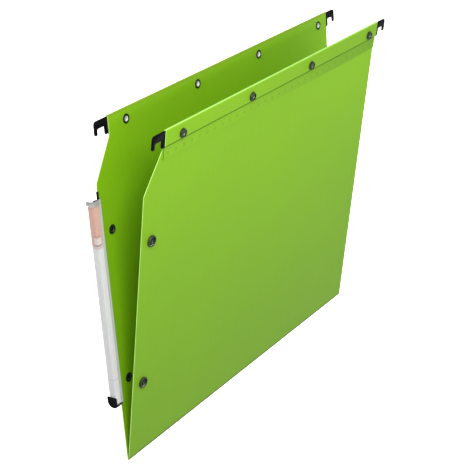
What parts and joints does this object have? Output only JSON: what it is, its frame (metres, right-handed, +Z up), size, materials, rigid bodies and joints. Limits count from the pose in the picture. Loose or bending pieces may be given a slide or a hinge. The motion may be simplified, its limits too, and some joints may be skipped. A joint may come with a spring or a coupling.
{
  "type": "hanging file folder",
  "caption": "Lateral hanging file of polypropylene sheet: two leaves joined at a crease, hems with bars and rail hooks, press studs and a clear label holder.",
  "frame": {"origin": "midway between the seats of the four hooks, at the level of the rails' top edges", "axes": "+X along the crease towards the far rail, away from the label; +Y from the front leaf to the back leaf; +Z up"},
  "size_m": [0.3597, 0.0568, 0.2746],
  "materials": {
    "leaf_sheet": "apple green polypropylene sheet with a fine grain",
    "bar_steel": "plain rolled steel strip",
    "hook_plastic": "black moulded nylon",
    "stud_enamel": "black enamel on brass",
    "spring_wire": "bright spring wire",
    "carrier_plastic": "black extruded plastic",
    "tube_clear": "clear plastic extrusion",
    "card_paper": "printed card"
  },
  "bodies": {
    "back_leaf": {"back_panel": "leaf_sheet", "bottom_fold": "leaf_sheet", "back_bar": "bar_steel", "back_hook_near": "hook_plastic", "back_hook_far": "hook_plastic", "back_top_eyelets": "stud_enamel", "back_top_sockets": "stud_enamel", "back_top_springs": "spring_wire", "back_side_eyelets": "stud_enamel", "back_side_studs": "stud_enamel", "label_carrier": "carrier_plastic", "label_tube": "tube_clear"},
    "front_leaf": {"front_panel": "leaf_sheet", "front_bar": "bar_steel", "front_hook_near": "hook_plastic", "front_hook_far": "hook_plastic", "front_top_eyelets": "stud_enamel", "front_top_studs": "stud_enamel", "front_side_eyelets": "stud_enamel", "front_side_sockets": "stud_enamel", "front_side_springs": "spring_wire"},
    "card": {"label_card": "card_paper"}
  },
  "joints": [
    {"name": "crease", "type": "hinge", "parent": "back_leaf", "child": "front_leaf", "pos_m": [0, 0, -0.2668], "axis": [1, 0, 0], "range_deg": [-9.7, 169.7]},
    {"name": "card_slide", "type": "slide", "parent": "back_leaf", "child": "card", "axis": [0, 0.0898, 0.996], "range_m": [0, 0.155]}
  ]
}
